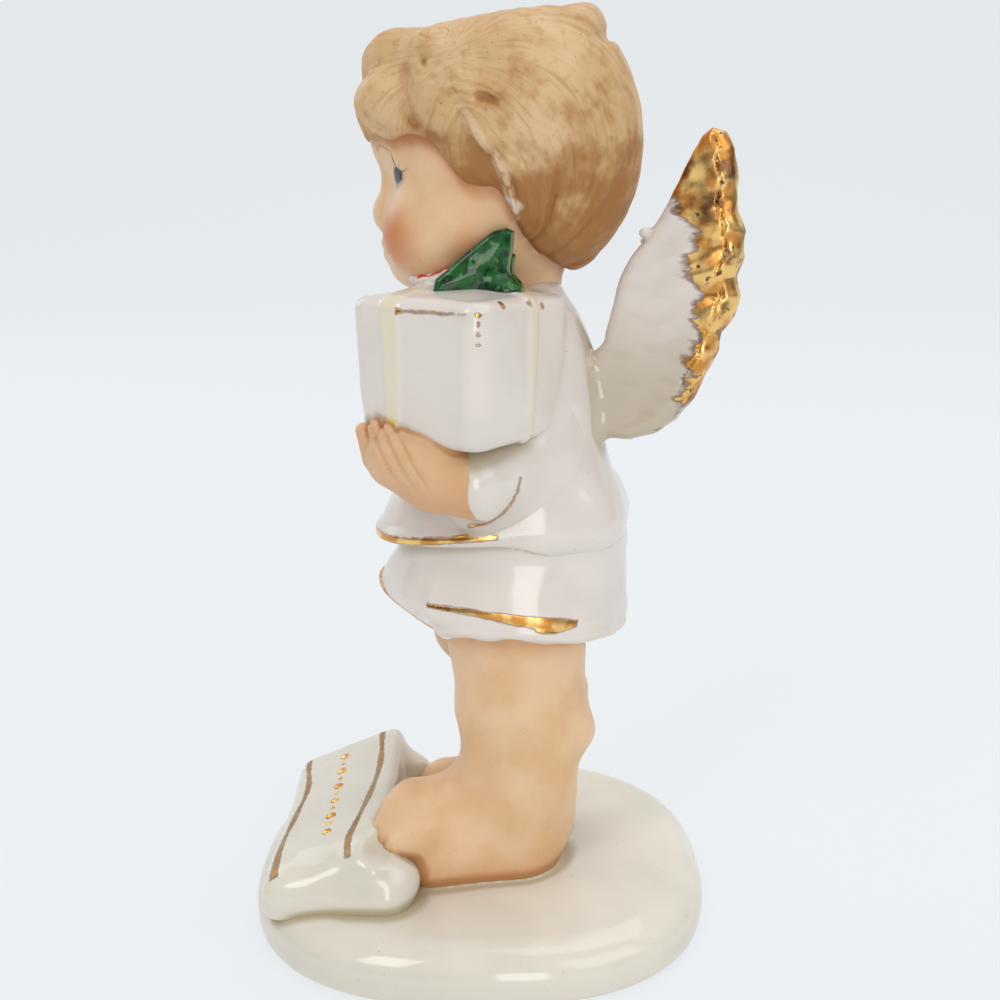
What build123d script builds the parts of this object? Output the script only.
from build123d import *
import math
import os

# Porcelain angel figurine: a cherub in a short two-tier robe holds a gift box at its left
# shoulder and stands on an oval base with a scroll-shaped plaque at its toes.
# Millimetres. +Z is up, the figure looks along -Y, and its own left side is +X.
# The origin is on the resting face, at the middle of the oval base.

# ---- driving dimensions ----
base_length = 56.8          # front to back
base_width = 50.0           # side to side
base_height = 6.5
base_top_round = 3.2        # soft upper edge of the glazed plinth
base_foot_round = 1.0
foot_ring_width = 3.0       # unglazed ring that the base rests on
foot_recess = 1.0           # how far the underside stands clear inside the ring
vent_radius = 1.6           # hole that lets air out of the hollow casting

leg_height = 30.5           # base top to robe hem
leg_spread = 6.1            # middle of the figure to the middle of a leg
leg_width = 11.6
leg_depth = 16.2
leg_wall = 2.6
foot_length = 24.0
foot_height = 9.6
foot_pitch = 9.0            # degrees that the toes are raised

skirt_height = 12.0         # hem to the upper tier's hem
skirt_width = 27.0
skirt_depth = 29.4
torso_height = 28.5         # upper tier's hem to the neck
torso_width = 26.4
torso_depth = 29.8
robe_wall = 2.4
robe_skew = 3.4             # how far the robe's middle lies behind the origin

head_width = 26.4
head_depth = 26.8
head_height = 29.0
head_wall = 2.6
head_turn = 7.0             # degrees to the figure's right
neck_radius = 4.9
hair_side = 2.1             # hair's thickness over each side of the head
hair_back = 2.6
hair_crown = 1.4
quiff_width = 22.0
quiff_depth = 12.4
quiff_height = 11.6

box_side = 17.4             # top edge of the gift box
box_height = 14.4
box_draft = 0.75            # taken off each lower side
box_edge_round = 1.1
box_wall = 2.0
box_turn = 35.0             # degrees about the upright
box_reach = 10.2            # middle of the figure to the middle of the box
box_ahead = 1.6             # middle of the box in front of the origin
box_drop = 15.2             # neck joint down to the underside of the box

wing_height = 34.2          # lowest to highest point of a wing
wing_sweep = 13.7           # how far a wing stands back from the robe
wing_thickness = 3.4
wing_flare = 18.0           # degrees that a wing turns outward
wing_spread = 4.6           # middle of the back to the middle of a wing's root
wing_lobe = 1.5             # how far each rounded feather stands out

scroll_length = 32.0        # across the figure
scroll_depth = 14.5
scroll_front = 3.2          # height of its front edge above the base
scroll_rear = 8.4           # height of its rear edge above the base
scroll_lip = 1.7            # radius of the rolled rear edge

sleeve_shoulder = 4.2       # radius at the shoulder
sleeve_cuff = 5.6           # radius at the cuff
finger_radius = 1.25
leaf_length = 9.2
leaf_height = 6.6
leaf_thickness = 1.7
bow_width = 5.0

# ---- levels and places that follow from them ----
base_top = base_height
hem_level = base_top + leg_height
tier_level = hem_level + skirt_height
neck_level = tier_level + torso_height
chin_level = neck_level
head_level = chin_level + head_height / 2
box_floor = neck_level - box_drop
box_top = box_floor + box_height
scroll_front_y = -base_length / 2 + 2.4
scroll_rear_y = scroll_front_y + scroll_depth
head_y = 2.6
head_middle = (0.0, head_y, head_level)
leg_y = 5.2
shoulder_level = neck_level - 5.5


def oval(width, depth, x=0.0, y=0.0, z=0.0):
    """Level oval outline with its middle at the given place."""
    return Pos(x, y, z) * Ellipse(width / 2, depth / 2)


def stack(rows, x=0.0):
    """Smooth solid through level ovals, given as rows of z, width, depth and y."""
    return loft([oval(width, depth, x, y, z) for z, width, depth, y in rows])


def shrunk(rows, wall):
    """The same rows with a wall's thickness taken off all round."""
    return [(z, width - 2 * wall, depth - 2 * wall, y) for z, width, depth, y in rows]


def egg(width, depth, height, place):
    """Ellipsoid with the given overall sizes, about its middle."""
    ball = scale(Sphere(0.5), by=(width, depth, height))
    return Pos(*place) * ball


def limb(start, end, start_radius, end_radius):
    """Round limb between two points, with ball ends."""
    path = Vector(*end) - Vector(*start)
    along = Plane(origin=start, z_dir=path)
    across = Plane(origin=end, z_dir=path)
    shaft = loft([along * Circle(start_radius), across * Circle(end_radius)])
    return shaft + Pos(*start) * Sphere(start_radius) + Pos(*end) * Sphere(end_radius)


def one_solid(shape):
    """Largest solid of a shape, so that trimming leaves no crumbs."""
    return max(shape.solids(), key=lambda solid: solid.volume)


# ---- base and scroll ----
def make_base():
    plinth = extrude(oval(base_width, base_length), base_height)
    rims = plinth.edges().sort_by(Axis.Z)
    plinth = fillet(rims[-1], base_top_round)
    plinth = fillet(plinth.edges().sort_by(Axis.Z)[0], base_foot_round)
    inside_width = base_width - 2 * (foot_ring_width + base_foot_round)
    inside_length = base_length - 2 * (foot_ring_width + base_foot_round)
    recess = extrude(oval(inside_width, inside_length), foot_recess)
    vent = Pos(leg_spread, leg_y, base_height / 2) * Cylinder(vent_radius, base_height)
    return plinth - recess - vent


def make_scroll():
    front = (scroll_front_y, base_top)
    brow = (scroll_front_y, base_top + scroll_front)
    rear_top = (scroll_rear_y - scroll_lip, base_top + scroll_rear)
    rear_foot = (scroll_rear_y - scroll_lip, base_top)
    sag = (front[0] + scroll_depth * 0.42, base_top + (scroll_front + scroll_rear) * 0.40)
    with BuildSketch(Plane.YZ) as side:
        with BuildLine():
            Line(rear_foot, front)
            Line(front, brow)
            Spline(brow, sag, rear_top, tangents=[(1.0, 0.15), (1.0, 0.55)])
            Line(rear_top, rear_foot)
        make_face()
    slab = extrude(side.sketch, scroll_length / 2, both=True)
    lip_z = base_top + scroll_rear - scroll_lip
    lip = Pos(0, scroll_rear_y - scroll_lip, lip_z) * Rot(0, 90, 0) * Cylinder(scroll_lip, scroll_length)
    curl_reach = scroll_lip * 2.6
    curl_x = scroll_length / 2 - scroll_lip
    curl = egg(2 * scroll_lip, 2 * curl_reach, scroll_rear, (curl_x, scroll_rear_y, base_top + scroll_rear / 2))
    return one_solid(slab + lip + curl)


# ---- legs ----
def leg_rows():
    return [
        (base_top + 9.0, leg_width * 0.90, leg_depth * 0.80, leg_y),
        (base_top + 13.0, leg_width * 0.94, leg_depth * 0.90, leg_y),
        (base_top + 18.5, leg_width, leg_depth, leg_y + 0.2),
        (base_top + 25.0, leg_width * 1.02, leg_depth * 1.02, leg_y - 0.5),
        (hem_level + 3.5, leg_width * 1.04, leg_depth * 1.06, leg_y - 0.8),
    ]


def make_leg(side, toe_shift):
    x = side * leg_spread
    shank = stack(leg_rows(), x)
    ankle = egg(leg_width * 0.92, leg_depth * 0.80, 14.0, (x, leg_y, base_top + 8.6))
    sole = egg(leg_width * 0.98, foot_length, foot_height, (0, 0, 0))
    foot_y = scroll_rear_y - 1.2 + foot_length / 2 + toe_shift
    sole = Pos(x, foot_y, base_top + foot_height * 0.47) * Rot(-foot_pitch, 0, 0) * sole
    heel = egg(leg_width * 0.90, foot_height, foot_height, (x, leg_y + 2.0, base_top + foot_height * 0.42))
    limbs = shank + ankle + sole + heel
    floor = Pos(0, 0, base_top - 10) * Box(4 * base_width, 4 * base_length, 20)
    return limbs - floor


def leg_bore(side):
    return stack(shrunk(leg_rows(), leg_wall), side * leg_spread)


# ---- robe ----
def skirt_rows():
    return [
        (hem_level, skirt_width * 0.93, skirt_depth * 0.91, robe_skew),
        (hem_level + skirt_height * 0.35, skirt_width, skirt_depth, robe_skew - 0.4),
        (hem_level + skirt_height * 0.70, skirt_width * 0.97, skirt_depth * 0.97, robe_skew),
        (tier_level + 1.5, skirt_width * 0.92, skirt_depth * 0.93, robe_skew),
    ]


def torso_rows():
    return [
        (tier_level - 0.8, torso_width, torso_depth, robe_skew - 0.2),
        (tier_level + 3.0, torso_width * 0.98, torso_depth * 0.97, robe_skew),
        (tier_level + 9.0, torso_width * 0.90, torso_depth * 0.84, robe_skew),
        (tier_level + 16.0, torso_width * 0.84, torso_depth * 0.74, robe_skew),
        (tier_level + 22.0, torso_width * 0.80, torso_depth * 0.64, robe_skew + 0.5),
        (tier_level + 26.0, torso_width * 0.66, torso_depth * 0.50, robe_skew + 0.9),
        (neck_level + 0.6, torso_width * 0.46, torso_depth * 0.38, robe_skew + 1.0),
    ]


def make_skirt(torso_outside, legs):
    outside = stack(skirt_rows())
    rows = shrunk(skirt_rows(), robe_wall)
    inside = stack([(hem_level + robe_wall, *rows[0][1:])] + rows[1:3] + [(tier_level - robe_wall, *rows[3][1:])])
    return one_solid(outside - inside - torso_outside - legs)


def make_torso(outside, neck, box):
    rows = shrunk(torso_rows(), robe_wall)
    inside = stack([(tier_level + robe_wall, *rows[0][1:])] + rows[1:5] + [(neck_level - 4.5, *rows[5][1:])])
    return one_solid(outside - inside - neck - box)


# ---- head and hair ----
def turned(shape):
    """Turn a piece of the head about the upright through the head's middle."""
    return Pos(*head_middle) * Rot(0, 0, -head_turn) * shape


def make_head(neck):
    skull = egg(head_width, head_depth, head_height, (0, 0, 0))
    nose = egg(3.4, 3.6, 3.2, (0, -head_depth / 2, -head_height * 0.22))
    cheeks = egg(head_width * 0.93, head_depth * 0.80, head_height * 0.62, (0, -1.4, -head_height * 0.17))
    hollow = egg(head_width - 2 * head_wall, head_depth - 2 * head_wall, head_height - 2 * head_wall, (0, 0, 0))
    return one_solid(turned(skull + nose + cheeks) + neck - turned(hollow))


def make_neck():
    foot = neck_level - 3.6
    height = chin_level + 6.0 - foot
    return Pos(0, head_y + 1.8, foot + height / 2) * Cylinder(neck_radius, height)


def hair_cap():
    """Outside of the hair from the nape to the crown, as rows that follow an ellipsoid."""
    width = head_width + 2 * hair_side
    depth = head_depth + 2 * hair_back
    rise = head_height / 2 + hair_crown
    rows = []
    for degrees in (-62, -45, -25, 0, 25, 45, 62, 74, 83):
        share = math.cos(math.radians(degrees))
        rows.append((rise * math.sin(math.radians(degrees)), width * share, depth * share, 0))
    return stack(rows)


def make_hair(head, others):
    """Hair cap with its quiff, less an oval window for the face and the head inside it."""
    quiff = egg(quiff_width, quiff_depth, quiff_height, (0, -head_depth * 0.34, head_height * 0.26))
    face_reach = head_depth * 0.55
    with BuildSketch(Plane.YZ) as face:
        with Locations((-face_reach, -head_height * 0.24)):
            Ellipse(face_reach, head_height * 0.33)
    window = extrude(face.sketch, head_width, both=True)
    hair = turned(hair_cap() + quiff - window)
    return one_solid(hair - head - others)


# ---- gift box ----
def box_solid(grow=0.0):
    low_side = box_side - 2 * box_draft + 2 * grow
    high_side = box_side + 2 * grow
    low = RectangleRounded(low_side, low_side, box_edge_round + grow)
    high = RectangleRounded(high_side, high_side, box_edge_round + grow)
    block = loft([Pos(0, 0, -grow) * low, Pos(0, 0, box_height + grow) * high])
    return Pos(box_reach, -box_ahead, box_floor) * Rot(0, 0, -box_turn) * block


def box_hollow():
    side = box_side - 2 * box_wall - box_draft
    void = Pos(0, 0, box_height / 2) * Box(side, side, box_height - 2 * box_wall)
    return Pos(box_reach, -box_ahead, box_floor) * Rot(0, 0, -box_turn) * void


# ---- arms ----
def make_sleeve(side):
    """Bell sleeve: the left one passes behind the box to its underside, the right one comes forward."""
    if side > 0:
        shoulder = (torso_width * 0.28, robe_skew + 3.6, shoulder_level)
        cuff = (torso_width * 0.48, robe_skew - 1.2, box_floor - sleeve_cuff * 0.90)
    else:
        shoulder = (-torso_width * 0.30, robe_skew + 1.6, shoulder_level)
        cuff = (-torso_width * 0.44, robe_skew - 6.0, box_floor - sleeve_cuff * 0.30)
    return limb(shoulder, cuff, sleeve_shoulder, sleeve_cuff)


def make_left_hand():
    """Palm under the box's outer corner, with four fingers up over its lower edge."""
    wrist = (torso_width * 0.54, robe_skew - 4.5, box_floor - 5.2)
    palm = (torso_width * 0.52, robe_skew - 11.5, box_floor - 2.7)
    hand = limb(wrist, palm, 3.6, 3.4)
    for step in range(4):
        x = torso_width * 0.38 + step * finger_radius * 1.7
        root = (x, palm[1] - 1.0, palm[2] - 0.5)
        tip = (x - 0.8, palm[1] - 3.8 + step * 0.9, box_floor + 1.4 + step * 0.35)
        hand += limb(root, tip, finger_radius * 1.2, finger_radius)
    return hand


def make_right_hand():
    """Palm under the box's inner front corner."""
    wrist = (-torso_width * 0.30, robe_skew - 9.5, box_floor - 0.5)
    palm = (torso_width * 0.02, robe_skew - 13.0, box_floor + 1.0)
    hand = limb(wrist, palm, 3.3, 3.0)
    for step in range(4):
        z = box_floor - 0.6 + step * finger_radius * 1.7
        root = (palm[0], palm[1] - 0.5, z)
        tip = (palm[0] + 5.2 - 0.5 * step, palm[1] - 1.2, z + 0.6)
        hand += limb(root, tip, finger_radius * 1.2, finger_radius)
    return hand


# ---- wings ----
# corners between the rounded feathers of the rear edge, as shares of sweep and height
wing_corners = [(0.92, 0.80), (0.95, 0.555), (0.82, 0.37), (0.65, 0.18)]


def make_wing(side):
    """Upright wing: a swept blade with a row of rounded feathers down its rear edge."""
    root_low = (0.0, 0.0)
    root_high = (-0.9, wing_height * 0.29)
    shoulder = (wing_sweep * 0.12, wing_height * 0.54)
    rise = (wing_sweep * 0.50, wing_height * 0.83)
    tip = (wing_sweep * 0.76, wing_height)
    low_corner = (wing_sweep * 0.35, wing_height * 0.03)
    with BuildSketch(Plane.YZ) as blade:
        with BuildLine():
            Line(root_low, root_high)
            Spline(root_high, shoulder, rise, tip)
            last = tip
            for sweep_share, height_share in wing_corners:
                corner = (wing_sweep * sweep_share, wing_height * height_share)
                middle = ((last[0] + corner[0]) / 2 + wing_lobe, (last[1] + corner[1]) / 2)
                ThreePointArc(last, middle, corner)
                last = corner
            Spline(last, low_corner, root_low)
        make_face()
    plate = extrude(blade.sketch, wing_thickness / 2, both=True)
    place = (side * wing_spread, robe_skew + torso_depth * 0.36, tier_level + 11.6)
    return Pos(*place) * Rot(0, 0, -side * wing_flare) * plate


# ---- trimmings on the box ----
def leaf_blade(length, height):
    with BuildSketch(Plane.YZ) as blade:
        with BuildLine():
            start = (-length / 2, 0)
            peak = (length * 0.33, height)
            back = (length / 2, 0)
            Spline(start, (-length * 0.05, height * 0.62), peak, tangents=[(0.6, 1.0), (1.0, 0.25)])
            Spline(peak, (length * 0.42, height * 0.45), back)
            Line(back, start)
        make_face()
    return extrude(blade.sketch, leaf_thickness / 2, both=True)


def make_leaf(turn, x, y, length, height):
    return Pos(x, y, box_top) * Rot(0, 0, turn) * leaf_blade(length, height)


def make_bow():
    """Two loops and a knot, flat where they sit on the box."""
    loop = egg(bow_width * 0.66, bow_width * 0.52, bow_width * 0.60, (0, 0, bow_width * 0.24))
    left = Pos(bow_width * 0.24, 0, 0) * loop
    right = Pos(-bow_width * 0.24, 0, 0) * loop
    knot = egg(bow_width * 0.42, bow_width * 0.60, bow_width * 0.50, (0, 0, bow_width * 0.22))
    seat = Pos(0, 0, -bow_width) * Box(4 * bow_width, 4 * bow_width, 2 * bow_width)
    return Pos(box_reach - 1.2, -box_ahead - 5.6, box_top) * Rot(0, 0, -box_turn) * (left + right + knot - seat)


# ---- build the pieces, each cut back from the ones it is stuck to ----
base = make_base()
scroll = make_scroll()
left_leg = make_leg(1, 0.0)
right_leg = make_leg(-1, 2.0) - left_leg
legs_outside = left_leg + right_leg
left_leg = one_solid(left_leg - scroll - leg_bore(1))
right_leg = one_solid(right_leg - scroll - leg_bore(-1))

torso_outside = stack(torso_rows())
neck = make_neck()
box = box_solid()
gift_box = box - box_hollow()
robe_skirt = make_skirt(torso_outside, legs_outside + leg_bore(1) + leg_bore(-1))
robe_top = make_torso(torso_outside, neck, box)
head = one_solid(make_head(neck) - box)
robe_top = one_solid(robe_top - head)
head_outside = head + turned(egg(head_width - 2, head_depth - 2, head_height - 2, (0, 0, 0)))
hair = make_hair(head_outside, torso_outside + box)

left_sleeve = make_sleeve(1)
right_sleeve = make_sleeve(-1)
body_outside = torso_outside + box
left_hand = one_solid(make_left_hand() - body_outside)
right_hand = one_solid(make_right_hand() - body_outside)
left_sleeve = one_solid(left_sleeve - body_outside - left_hand - robe_skirt - head_outside - hair)
right_sleeve = one_solid(right_sleeve - body_outside - right_hand - robe_skirt - head_outside - hair)

wing_cut = torso_outside + hair
left_wing = one_solid(make_wing(1) - wing_cut)
right_wing = one_solid(make_wing(-1) - wing_cut - left_wing)

near_leaf = make_leaf(0, box_reach, -box_ahead + 3.6, leaf_length, leaf_height)
far_leaf = make_leaf(160, box_reach - 4.2, -box_ahead + 2.2, leaf_length * 0.9, leaf_height * 0.8)
bow = make_bow()
near_leaf = one_solid(near_leaf - head_outside - hair)
far_leaf = one_solid(far_leaf - near_leaf - head_outside - hair - torso_outside)
bow = one_solid(bow - near_leaf - far_leaf - head_outside)

nodes = {
    "base": base,
    "scroll_plaque": scroll,
    "left_leg": left_leg,
    "right_leg": right_leg,
    "robe_skirt": robe_skirt,
    "robe_top": robe_top,
    "head": head,
    "hair": hair,
    "left_sleeve": left_sleeve,
    "right_sleeve": right_sleeve,
    "left_hand": left_hand,
    "right_hand": right_hand,
    "left_wing": left_wing,
    "right_wing": right_wing,
    "gift_box": gift_box,
    "holly_leaf_left": near_leaf,
    "holly_leaf_right": far_leaf,
    "ribbon_bow": bow,
}

os.makedirs("parts", exist_ok=True)
for name, shape in nodes.items():
    export_step(shape, f"parts/{name}.step")
